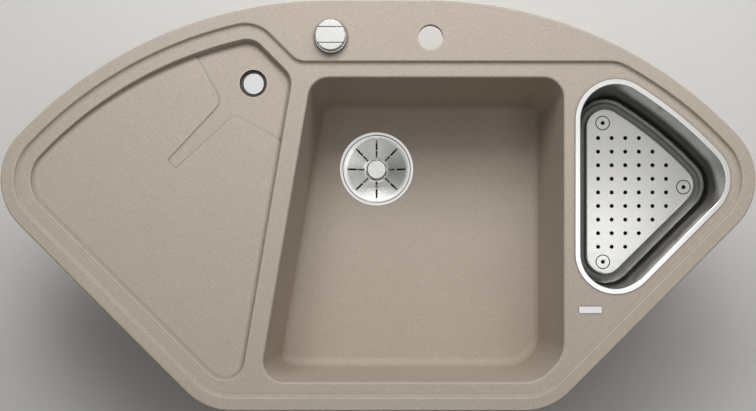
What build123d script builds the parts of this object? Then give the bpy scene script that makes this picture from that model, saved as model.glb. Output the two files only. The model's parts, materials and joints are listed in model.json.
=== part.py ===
from build123d import *
from math import atan2, cos, degrees, radians, sin, sqrt, tan
import os

# Corner kitchen sink of moulded stone composite: a shallow drainer with an overflow on the left,
# a deep main bowl in the middle, and on the right a small bowl that holds a drawn steel bowl with
# a perforated plate in it. A rotary knob on the tap ledge lifts the main waste's strainer.
#
# Millimetres. +X to the right, +Y to the back, +Z up. Z = 0 is the top of the worktop, which the
# rim lies on, and X = Y = 0 is the middle of the outline. "Inset" is a distance in from the outline.

# ---- outline and rim -------------------------------------------------------------------------
length = 1057.0
width = 575.0
back_flat = 133.0  # straight stretch in the middle of the back
back_radius = 600.0  # long arcs beside it
corner_radius = 90.0  # both ends and both front corners
rim_height = 8.0  # top of the rim above the worktop
rim_edge = 2.5  # rounding of its outer edge
seat_width = 16.0  # flat underside that lies on the worktop
wall = 9.0  # composite wall everywhere
seal_inset = 5.0
seal_width = 6.0
seal_depth = 2.0

# ---- step from the rim down to the ledge -----------------------------------------------------
step_inset = 18.5
step_drop = 5.0
step_lean = 25.0  # degrees off upright
step_crest = 2.5
step_foot = 5.0
step_round = 50.0  # plan rounding of its outer corners
step_hollow = 25.0  # plan rounding of its inner corner
tap_ledge_depth = 85.0  # tap ledge, from the back edge to the step's crest
tap_ledge_left = -112.5  # where the tap ledge's slanted side starts

# ---- drainer ---------------------------------------------------------------------------------
basin_inset = 40.0  # crest of all three basins
drainer_round = 28.0
drainer_lean = 15.0  # degrees off upright, walls
drainer_crest = 2.0
drainer_foot = 3.0
drainer_depth = 10.4  # ledge to floor at the overflow
drainer_shallow = 5.4  # ledge to floor at the left end
drainer_fall_way = 40.0  # direction that the floor falls in, degrees from +X
divider_x = -137.4  # middle of the land between drainer and main bowl, at half the width
divider_width = 25.6
divider_tilt = 9.65  # degrees off the Y axis
drainer_slant = 47.0  # land between the step and the drainer's slanted back corner, along X

# ---- runnel round the overflow, sunk into the drainer floor ----------------------------------
runnel_depth = 1.5
runnel_lean = 45.0  # degrees off upright, sides
runnel_end = 15.4  # width at its end
runnel_width = 24.4  # width at its mouth
runnel_reach = 162.0  # from the overflow's centre to the runnel's end
runnel_mouth = 49.5  # from the overflow's centre to where the runnel opens out
runnel_flare = 74.5  # degrees between the runnel's axis and the side of its mouth
runnel_round = 18.0
runnel_corner = 2.0

# ---- main bowl -------------------------------------------------------------------------------
main_depth = 190.0  # rim top to floor
main_back = 107.5  # back edge to crest
main_land = 16.0  # land between its right side and the steel bowl's flange
main_round = 29.0
main_front_round = 49.0  # front right corner
bowl_lean = 3.0
bowl_crest = 3.5
bowl_foot = 15.0

# ---- small bowl, steel bowl and perforated plate ---------------------------------------------
small_depth = 130.0
flange_reach = 251.5  # right end of the outline to the left edge of the steel bowl's flange
flange_inset = 34.0
flange_round = 57.0
flange_lap = 5.0  # how far the flange lies on the ledge
small_crest = 1.5
steel_sheet = 1.0
flange_thick = 1.2
flange_width = 7.5
steel_lean = 4.0
steel_foot = 12.0
steel_depth = 80.0  # ledge to the steel bowl's floor, inside
steel_crest = 1.6
plate_inset = 29.0  # from the flange's outer edge
plate_height = 9.0  # plate's top above the steel bowl's floor
plate_sheet = 1.0
plate_rim = 5.0  # height of its turned-down edge
plate_edge = 2.2
plate_hole = 6.0
plate_pitch = 20.0
plate_first = 17.7  # plate's left edge to the first column
plate_row = -31.08  # one row, which the others are stepped from, off the right end's centre
plate_margin = 12.0  # least distance from a hole's centre to the plate's edge
foot_size = 20.0
foot_reaches = (7.8, 11.2, 10.6)  # from a corner's centre out to its foot: back, right and front
foot_ways = (118.0, -17.0, -108.0)  # directions of those, degrees from +X
foot_flange = 24.0
foot_flange_thick = 1.5
foot_gap = 0.25  # round the foot, in its hole
foot_margin = 14.5  # least distance from a hole's centre to a foot's

# ---- holes, knob and knob drive on the tap ledge ---------------------------------------------
hole_setback = 52.0  # back edge to the line of the holes
fitting_hole = 35.0
hole_edge = 1.0
tap_x = 73.5
knob_x = -66.0
pocket_length = 240.0  # thinned area under the tap ledge
pocket_width = 52.0
pocket_round = 12.0
knob_size = 42.5
knob_height = 12.5
knob_wall = 3.0
knob_edge = 1.2
knob_groove = 1.2
knob_groove_offset = 10.9
knob_gap = 0.3
base_size = 44.5
base_height = 2.7
base_edge = 0.6
bush_size = 33.0
bush_wall = 3.0
bush_length = 34.0  # below the rim's top
bearing_size = 14.0
bearing_length = 14.0
stem_size = 8.0
running_gap = 0.05
hub_size = 14.0
hub_clearance = 1.0
thread_gap = 0.2
backnut_size = 48.0
backnut_height = 8.0
washer_size = 46.0
washer_height = 2.0
drive_size = 46.0
drive_height = 20.0
drive_wall = 2.5
drive_collar = 6.0
drum_size = 30.0
drum_height = 8.0
drum_groove = 2.0
drum_clearance = 1.5
gland_size = 12.0
gland_length = 16.0
gland_bore = 5.0
gland_nut = 15.0
gland_nut_length = 7.0

# ---- overflow --------------------------------------------------------------------------------
overflow_setback = 113.5  # back edge to its centre
overflow_land = 55.6  # its centre to the drainer's right side, along X
overflow_seat = 39.0  # sunk seat of the collar
overflow_seat_depth = 8.0
overflow_hole = 35.0
cap_size = 29.5
cap_thick = 1.6
cap_edge = 0.6
cap_lift = 1.0  # cap's underside above the collar
cap_stem = 8.0
cap_shoulder = 12.0
collar_size = 38.4
collar_thick = 2.0
collar_sleeve = 34.0
collar_bore = 31.0
collar_length = 22.0
spider_top = 6.0  # below the collar's seat
spider_height = 10.0
spider_rib = 2.0
overflow_boss = 72.0  # flat boss under the drainer that the overflow body seats on
overflow_boss_drop = 6.0
overflow_flange = 62.0
overflow_flange_thick = 4.0
overflow_body_size = 44.0
overflow_body_depth = 30.0
overflow_body_wall = 2.5
gasket_thick = 2.0
pipe_size = 24.0
pipe_wall = 1.8
pipe_bend = 34.0
pipe_gap = 0.3
socket_depth = 14.0
socket_wall = 2.7
union_size = 38.0
union_length = 16.0
union_lap = 9.0  # how much of it lies over the socket
union_grips = 16  # ribs round it
union_grip = 2.0
union_grip_rise = 1.0

# ---- main waste ------------------------------------------------------------------------------
waste_setback = 107.3  # main bowl's back crest to its centre
waste_land = 109.45  # main bowl's left side to its centre, along X
waste_ring = 116.0  # outside of the flange in the bowl's floor
waste_seat_gap = 0.5
waste_seat_depth = 3.2
waste_seat_cone = 103.0  # where the seat's cone starts
waste_cone_depth = 9.0
waste_hole = 91.0
waste_boss = 124.0
waste_boss_drop = 5.0
waste_rim = 4.6  # width of the flat ring that shows
waste_rise = 0.8
cup_size = 86.0
cup_depth = 38.0
cup_mouth = 9.5  # depth of the sloped mouth
cup_sheet = 1.2
cup_bend = 0.7
cup_outlet = 52.0
dish_gap = 0.8  # more than the cup's bend
dish_sheet = 1.0
dish_land = 2.5  # flat rim of the dish
dish_fall = 8.5
boss_size = 31.0
boss_rise = 6.0
boss_edge = 1.5
slot_count = 8
slot_inner = 18.6
slot_outer = 46.3
slot_width = 2.8
skirt_size = 62.0
window_width = 12.0
window_height = 10.0
seal_outer = 61.0
seal_bore = 44.0
seal_thick = 2.5
pin_socket = 14.0
pin_socket_length = 7.0
body_flange = 112.0
body_flange_thick = 4.0
body_size = 100.0
body_wall = 3.0
body_depth = 70.0  # bowl floor to the foot of its chamber
body_cone = 15.0
body_ribs = 12  # gussets under its flange
body_rib = 2.4
body_rib_height = 12.0
outlet_thread = 47.8  # G 1 1/2
outlet_bore = 39.0
outlet_length = 22.0
port_depth = 50.0  # bowl floor to the overflow port's axis
port_reach = 66.0
pin_size = 8.0
pin_rest = 0.3
pin_length = 42.0
guide_size = 18.0
guide_height = 14.0
guide_foot = 62.0  # below the bowl's floor
spoke_width = 4.0
spoke_height = 9.0
post_size = 10.0
post_gap = 0.3
screw_size = 5.0
screw_head = 8.5
screw_head_height = 3.0
screw_circle = 73.0
screw_length = 20.0

# ---- small waste -----------------------------------------------------------------------------
small_waste_reach = 72.5  # its centre in from the right end's centre
small_waste_drop = 8.38  # its centre in front of the right end's centre
small_ring = 70.0
small_seat_depth = 1.4
small_hole = 54.0
small_rise = 0.6
small_cup = 46.0
small_mouth = 2.5
small_cup_depth = 14.0
small_flange = 66.0
small_body = 56.0
small_body_depth = 38.0  # bowl floor to the foot of its chamber
plug_gap = 0.8
plug_edge = 0.5
plug_skirt = 3.5
plug_thick = 4.0
plug_grip = 12.0
plug_grip_height = 9.0
grate_slots = 6
grate_inner = 8.0
grate_outer = 18.0
grate_width = 6.0
grate_screw_length = 18.0
grate_hub = 12.0

# ---- plate on the ledge ----------------------------------------------------------------------
badge_land = 21.0  # left edge of the steel bowl's flange to its middle, along X
badge_drop = 22.3  # front edge of that flange to its middle
badge_length = 32.0
badge_width = 9.3
badge_thick = 0.6
badge_round = 1.6

# ---- fixing clips, under the worktop's edge --------------------------------------------------
worktop = 30.0  # thickness that the clips are set to
clip_width = 22.0
clip_inset = 18.0  # their front face
clip_depth = 12.0
clip_height = 10.0
clip_guide = 3.5
clip_drop = 46.0  # below the deck, foot of the guide
claw_width = 18.0
claw_thick = 2.5
claw_inset = 4.0
claw_tooth = 4.0
claw_gap = 0.4
clip_screw = 5.0
clip_screw_head = 7.5
clip_screw_head_height = 3.0
clip_screw_spare = 2.0  # block left over the screw's hole, and hole left over its end
clip_front_x = 120.0  # clips on the straight front
clip_side_shares = (0.22, 0.78)  # clips along each slanted front
clip_back_angles = (8.0, 21.0, 34.0)  # clips along each back arc, degrees from its start

# ---- levels and centres that follow ----------------------------------------------------------
ledge = rim_height - step_drop
deck_under = ledge - wall
main_floor = rim_height - main_depth
small_floor = rim_height - small_depth
main_under = main_floor - wall - waste_boss_drop
small_under = small_floor - wall
tap_under = rim_height - wall
hole_y = width / 2 - hole_setback
back_centre = Vector(back_flat / 2, width / 2 - back_radius)
end_x = length / 2 - corner_radius
end_y = back_centre.Y + sqrt((back_radius - corner_radius) ** 2 - (end_x - back_centre.X) ** 2)
end_centre = Vector(end_x, end_y)
front_centre = Vector(end_x - end_y + corner_radius - width / 2, corner_radius - width / 2)
slant = Vector(1, -1).normalized()  # square to the right slanted front, outwards
flange_left = length / 2 - flange_reach
flange_back = width / 2 - tap_ledge_depth - flange_inset + step_inset  # as far back as it may reach
main_right = flange_left - main_land
small_waste_x = end_x - small_waste_reach
small_waste_y = end_y - small_waste_drop
runnel_floor = ledge - drainer_depth - runnel_depth
collar_level = runnel_floor - overflow_seat_depth
overflow_under = ledge - drainer_depth - wall - overflow_boss_drop
big = 3 * length
standing = (Align.CENTER, Align.CENTER, Align.MIN)
hanging = (Align.CENTER, Align.CENTER, Align.MAX)


# ---- helpers ---------------------------------------------------------------------------------
def sink_outline(inset):
    """Face inside the rim's outline, moved in by inset: tangent arcs and lines, the same on both sides."""
    radius = corner_radius - inset
    start = Vector(back_flat / 2, width / 2 - inset)
    end_top = end_centre + (end_centre - back_centre).normalized() * radius
    end_low = end_centre + slant * radius
    front_side = front_centre + slant * radius
    front_low = Vector(front_centre.X, inset - width / 2)
    back = RadiusArc(start, end_top, back_radius - inset)
    end = TangentArc(end_top, end_low, tangent=back % 1)
    side = Line(end_low, front_side)
    corner = TangentArc(front_side, front_low, tangent=side % 1)
    right = [back, end, side, corner]
    left = [mirror(edge, about=Plane.YZ) for edge in right]
    middle = [Line(start, (-start.X, start.Y)), Line(front_low, (-front_low.X, front_low.Y))]
    return make_face(right + left + middle)


def beyond(x, y, direction):
    """Half plane past the line through (x, y) that is square to direction, in degrees from +X."""
    return Pos(x, y) * Rot(0, 0, direction) * Pos(big / 2, 0) * Rectangle(big, big)


def rounded(face, radius):
    """Face with its outward corners rounded."""
    return offset(offset(face, -radius, kind=Kind.ARC), radius, kind=Kind.ARC)


def hollowed(face, radius):
    """Face with its inward corners rounded."""
    return offset(offset(face, radius, kind=Kind.ARC), -radius, kind=Kind.ARC)


def grown(face, amount):
    return offset(face, amount, kind=Kind.ARC)


def sunk(face, top, depth, lean, foot):
    """Solid under a plan at the level top, with leaning sides and a rounded foot."""
    solid = extrude(Pos(0, 0, top) * face, amount=-depth, taper=lean)
    return fillet(solid.edges().group_by(Axis.Z)[0], foot)


def disc(x, y, low, high, size):
    """Upright cylinder between two levels."""
    return Pos(x, y, low) * Cylinder(size / 2, high - low, align=standing)


def rod(place, start, end, size):
    """Cylinder on a place's Z axis, from start to end along it."""
    return place * Pos(0, 0, start) * Cylinder(size / 2, end - start, align=standing)


def tube(x, y, low, high, size, bore):
    return disc(x, y, low, high, size) - disc(x, y, low - 1, high + 1, bore)


def turned(x, y, points):
    """Solid turned about the upright axis at (x, y) from (radius, level) points."""
    return Pos(x, y) * revolve(Plane.XZ * make_face(Polyline(*points, close=True)), Axis.Z)


def turned_sheet(x, y, points, sheet, bend):
    """Sheet metal turned about the axis at (x, y), whose upper side follows the points."""
    path = FilletPolyline(*points, radius=bend)
    profile = make_face(offset(path, sheet, side=Side.LEFT, closed=True))
    return Pos(x, y) * revolve(Plane.XZ * profile, Axis.Z)


def flat_face(solid, level):
    """Largest flat face that looks up at a level."""
    faces = solid.faces().filter_by(Axis.Z).filter_by(lambda face: abs(face.center().Z - level) < 1e-4)
    return faces.sort_by(SortBy.AREA)[-1]


def round_crest(solid, level, x, y, radius):
    """Solid with the crest of one hollow rounded: the hole in the flat face at level round (x, y)."""
    holes = flat_face(solid, level).inner_wires()
    crest = min(holes, key=lambda wire: (wire.bounding_box().center() - Vector(x, y, level)).length)
    return fillet(crest.edges(), radius)


# ---- plans of the step and the basins --------------------------------------------------------
def arc_y(x, inset):
    """Height in plan of the right back arc, moved in by inset, at x."""
    return back_centre.Y + sqrt((back_radius - inset) ** 2 - (x - back_centre.X) ** 2)


def front_y(x, inset):
    """Height in plan of the front, moved in by inset, at x: straight, then a round corner, then slanted."""
    radius = corner_radius - inset
    past = x - front_centre.X
    if past <= 0:
        return inset - width / 2
    if past < radius * slant.X:
        return front_centre.Y - sqrt(radius**2 - past**2)
    return front_centre.Y + past - radius * sqrt(2)


def step_plan():
    """Area inside the rim's step: the outline moved in, less the tap ledge and its slanted side."""
    front = width / 2 - tap_ledge_depth
    ledge_area = beyond(0, front, 90) & beyond(tap_ledge_left, front, 45)
    area = sink_outline(step_inset) - ledge_area
    return hollowed(rounded(area, step_round), step_hollow)


def divider_side(side, y=0.0):
    """X of one side of the land between drainer and main bowl, at y: side -1 left, 1 right."""
    tilt = radians(divider_tilt)
    return divider_x + side * divider_width / 2 / cos(tilt) + y * tan(tilt)


overflow_y = width / 2 - overflow_setback
overflow_x = divider_side(-1, overflow_y) - overflow_land
waste_y = width / 2 - main_back - waste_setback
waste_x = divider_side(1, waste_y) + waste_land


def drainer_plan():
    area = sink_outline(basin_inset) - beyond(divider_side(-1), 0, -divider_tilt)
    area -= beyond(tap_ledge_left - drainer_slant + step_inset, width / 2 - tap_ledge_depth, 45)
    return rounded(area, drainer_round)


def main_plan():
    area = sink_outline(basin_inset) - beyond(divider_side(1), 0, 180 - divider_tilt)
    area -= beyond(0, width / 2 - main_back, 90)
    area -= beyond(main_right, 0, 0)
    front_right = beyond(waste_x, 0, 0) & beyond(0, 0, -90)
    area -= (area - rounded(area, main_front_round)) & front_right
    return rounded(area, main_round)


def flange_plan(inset):
    """Outline of the steel bowl's flange, moved in by inset: three round corners."""
    area = sink_outline(flange_inset + inset) - beyond(flange_left + inset, 0, 180)
    area -= beyond(0, flange_back - inset, 90)
    return rounded(area, flange_round - inset)


# ---- the moulded body ------------------------------------------------------------------------
fall_way = Vector(cos(radians(drainer_fall_way)), sin(radians(drainer_fall_way)))
fall_run = fall_way.dot(Vector(overflow_x + end_x, overflow_y - end_y)) + corner_radius - basin_inset
drainer_up = fall_way * (drainer_depth - drainer_shallow) + Vector(0, 0, fall_run)


def drainer_space(depth, plan, lean):
    """Space under a plan at the ledge, down to the drainer's sloping floor, depth deep at the overflow."""
    solid = extrude(Pos(0, 0, ledge) * plan, amount=-4 * drainer_depth, taper=lean)
    floor = Plane(origin=(overflow_x, overflow_y, ledge - depth), z_dir=drainer_up)
    return solid - floor * Box(big, big, big, align=hanging)


def drainer_tool(depth):
    space = drainer_space(depth, drainer_plan(), drainer_lean)
    return fillet(space.faces().sort_by(Axis.Z)[0].edges(), drainer_foot)


def runnel_plan():
    """Runnel along +X from the overflow, which opens out to all the floor behind it."""
    half = runnel_width / 2
    flare = radians(runnel_flare)
    side = [(runnel_reach, runnel_end / 2), (runnel_mouth, half)]
    side.append((runnel_mouth - length * cos(flare), half + length * sin(flare)))
    side.append((-length, half + length * sin(flare)))
    other = [(x, -y) for x, y in reversed(side)]
    plan = make_face(Polyline(*side, *other, close=True))
    return rounded(hollowed(plan, runnel_round), runnel_corner)


def runnel_tool():
    """Lowered floor with leaning sides, parallel to the drainer's floor and inside its walls."""
    along = Vector(drainer_up.Z, 0, -drainer_up.X)
    floor = Plane(origin=(overflow_x, overflow_y, ledge - drainer_depth), x_dir=along, z_dir=drainer_up)
    widest = grown(runnel_plan(), 2 * runnel_depth * tan(radians(runnel_lean)))
    place = floor * Pos(0, 0, runnel_depth) * Rot(0, 0, 225)
    recess = extrude(place * widest, -2 * runnel_depth, taper=runnel_lean)
    return drainer_tool(drainer_depth + runnel_depth) & recess


def sink_body():
    rim = extrude(sink_outline(0), rim_height)
    rim = fillet(flat_face(rim, rim_height).edges(), rim_edge)
    body = rim + extrude(Pos(0, 0, deck_under) * sink_outline(seat_width), -deck_under)
    drainer_outside = grown(drainer_plan(), wall / cos(radians(drainer_lean)))
    body += drainer_space(drainer_depth + wall, drainer_outside, drainer_lean)
    body += disc(overflow_x, overflow_y, overflow_under, deck_under, overflow_boss)
    main = main_plan()
    small = flange_plan(flange_lap)
    bowl_wall = wall / cos(radians(bowl_lean))
    body += sunk(grown(main, bowl_wall), ledge, ledge - main_floor + wall, bowl_lean, bowl_foot + wall)
    body += sunk(grown(small, bowl_wall), ledge, ledge - small_floor + wall, bowl_lean, bowl_foot + wall)
    body += disc(waste_x, waste_y, main_under, main_floor, waste_boss)

    body -= sunk(step_plan(), rim_height, step_drop, step_lean, step_foot)
    body -= drainer_tool(drainer_depth)
    body -= runnel_tool()
    body -= sunk(main, ledge, ledge - main_floor, bowl_lean, bowl_foot)
    body -= sunk(small, ledge, ledge - small_floor, bowl_lean, bowl_foot)
    body -= extrude(sink_outline(seal_inset) - sink_outline(seal_inset + seal_width), seal_depth)

    pocket = RectangleRounded(pocket_length, pocket_width, pocket_round)
    body -= extrude(Pos((tap_x + knob_x) / 2, hole_y, deck_under) * pocket, tap_under - deck_under)
    for x in (tap_x, knob_x):
        body -= disc(x, hole_y, deck_under, rim_height, fitting_hole)
    body -= disc(overflow_x, overflow_y, overflow_under, ledge, overflow_hole)
    body -= disc(overflow_x, overflow_y, collar_level, ledge, overflow_seat)
    seat = waste_ring / 2 + waste_seat_gap
    body -= turned(waste_x, waste_y, [
        (0, main_floor),
        (seat, main_floor),
        (seat, main_floor - waste_seat_depth),
        (waste_seat_cone / 2, main_floor - waste_seat_depth),
        (waste_hole / 2, main_floor - waste_cone_depth),
        (waste_hole / 2, main_under),
        (0, main_under),
    ])
    body -= disc(small_waste_x, small_waste_y, small_under, small_floor, small_hole)
    body -= disc(small_waste_x, small_waste_y, small_floor - small_seat_depth, small_floor,
                 small_ring + 2 * waste_seat_gap)

    body = round_crest(body, rim_height, 0, 0, step_crest)
    for x in (tap_x, knob_x):
        body = round_crest(body, rim_height, x, hole_y, hole_edge)
    middle = (main_right + divider_x) / 2
    body = round_crest(body, ledge, 2 * divider_x, 0, drainer_crest)
    body = round_crest(body, ledge, middle, 0, bowl_crest)
    body = round_crest(body, ledge, small_waste_x, small_waste_y, small_crest)
    return body


# ---- steel bowl and perforated plate ---------------------------------------------------------
steel_floor = ledge - steel_depth
plate_top = steel_floor + plate_height
plate_under = plate_top - plate_sheet


def steel_bowl():
    """Drawn bowl that hangs in the small bowl by its flat flange."""
    flange = extrude(Pos(0, 0, ledge) * flange_plan(0), flange_thick)
    outside = sunk(flange_plan(flange_width - steel_sheet), ledge, ledge - steel_floor + steel_sheet,
                   steel_lean, steel_foot + steel_sheet)
    inside = sunk(flange_plan(flange_width), ledge + flange_thick, ledge + flange_thick - steel_floor,
                  steel_lean, steel_foot)
    bowl = flange + outside - inside
    return round_crest(bowl, ledge + flange_thick, small_waste_x, small_waste_y, steel_crest)


def foot_places():
    """Centres of the plate's three feet, each out from the centre of a corner's rounding."""
    left = flange_left + flange_round
    inset = flange_inset + flange_round
    back = min(arc_y(left, inset), flange_back - flange_round)
    corners = [Vector(left, back), end_centre, Vector(left, front_y(left, inset))]
    return [corner + Vector(reach, 0).rotate(Axis.Z, way)
            for corner, reach, way in zip(corners, foot_reaches, foot_ways)]


def hole_places():
    """Centres of the plate's holes: a square grid, clear of the plate's edge and its feet."""
    area = flange_plan(plate_inset + plate_margin)
    box = area.bounding_box()
    feet = foot_places()
    first = flange_left + plate_inset + plate_first
    columns = int((box.max.X - first) / plate_pitch)
    row_y = end_y + plate_row
    low_row = int((box.min.Y - row_y) / plate_pitch)
    high_row = int((box.max.Y - row_y) / plate_pitch)
    places = []
    for column in range(columns + 1):
        for row in range(low_row, high_row + 1):
            place = Vector(first + column * plate_pitch, row_y + row * plate_pitch)
            clear = all((place - foot).length > foot_margin for foot in feet)
            if clear and area.faces()[0].is_inside(place):
                places.append(place)
    return places


def perforated_plate():
    plan = flange_plan(plate_inset)
    plate = extrude(Pos(0, 0, plate_top - plate_rim) * plan, plate_rim)
    plate = fillet(flat_face(plate, plate_top).edges(), plate_edge)
    inside = extrude(Pos(0, 0, plate_top - plate_rim) * grown(plan, -plate_sheet), plate_rim - plate_sheet)
    inside = fillet(flat_face(inside, plate_under).edges(), plate_edge - plate_sheet)
    plate -= inside
    for place in hole_places():
        plate -= disc(place.X, place.Y, plate_under, plate_top, plate_hole)
    for foot in foot_places():
        plate -= disc(foot.X, foot.Y, plate_under, plate_top, foot_size)
    return plate


def plate_feet():
    """Turned feet, each with its button flush in the plate and a hole through it."""
    button = foot_size / 2 - foot_gap
    profile = [
        (plate_hole / 2, plate_top),
        (button, plate_top),
        (button, plate_under),
        (foot_flange / 2, plate_under),
        (foot_flange / 2, plate_under - foot_flange_thick),
        (button, plate_under - foot_flange_thick),
        (button - foot_flange_thick, steel_floor),
        (plate_hole / 2, steel_floor),
    ]
    return Compound([turned(foot.X, foot.Y, profile) for foot in foot_places()])


# ---- knob and its drive ----------------------------------------------------------------------
base_top = rim_height + base_height
knob_low = base_top + knob_gap
knob_top = knob_low + knob_height
bush_low = rim_height - bush_length
drive_top = bush_low + drive_collar
drive_low = bush_low - drive_height
drum_top = bush_low - drive_wall - drum_clearance
drum_low = drum_top - drum_height
stem_low = drive_low + drive_wall + knob_gap
gland_y = hole_y - drum_size / 2 + drum_groove  # along the bottom of the drum's groove


def waste_knob():
    """Hollow cap with a hub, and two grooves across its top either side of a plain band."""
    knob = disc(knob_x, hole_y, knob_low, knob_top, knob_size)
    knob = fillet(flat_face(knob, knob_top).edges(), knob_edge)
    knob -= disc(knob_x, hole_y, knob_low, knob_top - knob_wall, knob_size - 2 * knob_wall)
    knob += disc(knob_x, hole_y, knob_low + hub_clearance, knob_top - knob_wall, hub_size)
    knob -= disc(knob_x, hole_y, knob_low, knob_top - knob_wall - running_gap, stem_size + 2 * running_gap)
    for side in (-1, 1):
        groove = Box(knob_size, knob_groove, 2 * knob_groove)
        knob -= Pos(knob_x, hole_y + side * knob_groove_offset, knob_top) * groove
    return knob


def knob_stem():
    return disc(knob_x, hole_y, stem_low, knob_top - knob_wall - 2 * running_gap, stem_size)


def knob_base():
    """Escutcheon with its threaded bush, which goes down through the hole and carries the stem."""
    plate = disc(knob_x, hole_y, rim_height, base_top, base_size)
    plate = fillet(flat_face(plate, base_top).edges(), base_edge)
    base = plate + tube(knob_x, hole_y, bush_low, rim_height, bush_size, bush_size - 2 * bush_wall)
    base += disc(knob_x, hole_y, rim_height - bearing_length, rim_height, bearing_size)
    return base - disc(knob_x, hole_y, bush_low, base_top, stem_size + 2 * running_gap)


def knob_washer():
    low = tap_under - washer_height
    return tube(knob_x, hole_y, low, tap_under, washer_size, bush_size + 2 * thread_gap)


def knob_backnut():
    top = tap_under - washer_height
    nut = extrude(Pos(knob_x, hole_y, top) * RegularPolygon(backnut_size / 2, 6), -backnut_height)
    return nut - disc(knob_x, hole_y, top - backnut_height, top, bush_size + 2 * thread_gap)


def cable_drum():
    """Wheel on the stem with a groove for the cable's end."""
    drum = disc(knob_x, hole_y, drum_low, drum_top, drum_size)
    middle = (drum_low + drum_top) / 2
    drum -= tube(knob_x, hole_y, middle - drum_groove / 2, middle + drum_groove / 2,
                 drum_size + drum_groove, drum_size - 2 * drum_groove)
    return drum - disc(knob_x, hole_y, drum_low, drum_top, stem_size + 2 * running_gap)


def drive_housing():
    """Cup round the drum, with a collar on the bush and a boss for the cable's gland."""
    body = disc(knob_x, hole_y, drive_low, bush_low, drive_size)
    body += disc(knob_x, hole_y, bush_low, drive_top, bush_size + 2 * (thread_gap + drive_wall))
    body -= disc(knob_x, hole_y, bush_low, drive_top, bush_size + 2 * thread_gap)
    boss = Pos(knob_x, gland_y, (drum_low + drum_top) / 2) * Rot(0, -90, 0)
    far = drive_size / 2 + gland_length / 2
    body += rod(boss, 0, far, gland_size)
    body -= disc(knob_x, hole_y, drive_low, bush_low - drive_wall, drive_size - 2 * drive_wall)
    body -= disc(knob_x, hole_y, drive_low, bush_low, stem_size + 2 * thread_gap)
    return body - rod(boss, 0, far, gland_bore)


def drive_cover():
    """Lid pressed into the foot of the drive's housing."""
    size = drive_size - 2 * (drive_wall + thread_gap)
    lid = disc(knob_x, hole_y, drive_low, drive_low + drive_wall, size)
    return lid + disc(knob_x, hole_y, drive_low - drive_wall / 2, drive_low, drive_size)


def gland(place):
    """Cable gland at a place whose Z axis points out of the boss: a nut and a nose."""
    nose = Cone(gland_size / 2, gland_bore, gland_length / 2, align=standing)
    body = rod(place, 0, gland_nut_length, gland_nut) + place * Pos(0, 0, gland_nut_length) * nose
    return body - rod(place, 0, gland_length, gland_bore)


def drive_gland():
    reach = knob_x - drive_size / 2 - gland_length / 2
    return gland(Pos(reach, gland_y, (drum_low + drum_top) / 2) * Rot(0, -90, 0))


# ---- overflow --------------------------------------------------------------------------------
overflow_top = overflow_under - gasket_thick
overflow_low = overflow_top - overflow_body_depth
port_level = main_floor - port_depth
socket_size = pipe_size + 2 * (pipe_gap + socket_wall)
socket_bore = pipe_size + 2 * pipe_gap
to_overflow = degrees(atan2(overflow_y - waste_y, overflow_x - waste_x))


def overflow_cap():
    """Round cover on a stem, which clicks into the collar's spider."""
    low = collar_level + collar_thick + cap_lift
    shoulder = collar_level - spider_top
    cap = disc(overflow_x, overflow_y, low, low + cap_thick, cap_size)
    cap = fillet(flat_face(cap, low + cap_thick).edges(), cap_edge)
    cap += disc(overflow_x, overflow_y, shoulder, low, cap_shoulder)
    return cap + disc(overflow_x, overflow_y, shoulder - spider_height, shoulder, cap_stem)


def overflow_collar():
    """Threaded collar down through the drainer, with a spider of three ribs in it."""
    sleeve_low = collar_level - collar_length
    collar = disc(overflow_x, overflow_y, collar_level, collar_level + collar_thick, collar_size)
    collar += disc(overflow_x, overflow_y, sleeve_low, collar_level, collar_sleeve)
    collar -= disc(overflow_x, overflow_y, sleeve_low, collar_level + collar_thick, collar_bore)
    top = collar_level - spider_top
    middle = top - spider_height / 2
    spider = disc(overflow_x, overflow_y, top - spider_height, top, cap_shoulder)
    half = (collar_bore + collar_sleeve) / 4
    for turn in range(3):
        rib = Pos(half / 2, 0) * Box(half, spider_rib, spider_height)
        spider += Pos(overflow_x, overflow_y, middle) * Rot(0, 0, 120 * turn) * rib
    spider -= disc(overflow_x, overflow_y, top - spider_height, top, cap_stem + 2 * running_gap)
    return collar + spider


def overflow_gasket():
    return tube(overflow_x, overflow_y, overflow_top, overflow_under, overflow_flange, overflow_hole)


def overflow_body():
    """Chamber under the drainer that the collar screws into, with a socket for the pipe."""
    body = disc(overflow_x, overflow_y, overflow_top - overflow_flange_thick, overflow_top, overflow_flange)
    body += disc(overflow_x, overflow_y, overflow_low, overflow_top, overflow_body_size)
    body += disc(overflow_x, overflow_y, overflow_low - socket_depth, overflow_low, socket_size)
    body -= disc(overflow_x, overflow_y, overflow_low + overflow_body_wall, overflow_top,
                 collar_sleeve + 2 * thread_gap)
    body -= disc(overflow_x, overflow_y, overflow_low, overflow_top, pipe_size - 2 * pipe_wall)
    return body - disc(overflow_x, overflow_y, overflow_low - socket_depth, overflow_low, socket_bore)


def overflow_pipe():
    """Rigid pipe straight down from the overflow, round one bend and along to the main waste."""
    far = port_reach - socket_depth
    start = Vector(overflow_x, overflow_y, overflow_low)
    corner = Vector(overflow_x, overflow_y, port_level)
    way = Vector(cos(radians(to_overflow)), sin(radians(to_overflow)), 0)
    end = Vector(waste_x, waste_y, port_level) + way * far
    path = FilletPolyline(start, corner, end, radius=pipe_bend)
    section = Circle(pipe_size / 2) - Circle(pipe_size / 2 - pipe_wall)
    return sweep(Plane(origin=path @ 0, z_dir=path % 0) * section, path)


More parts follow.
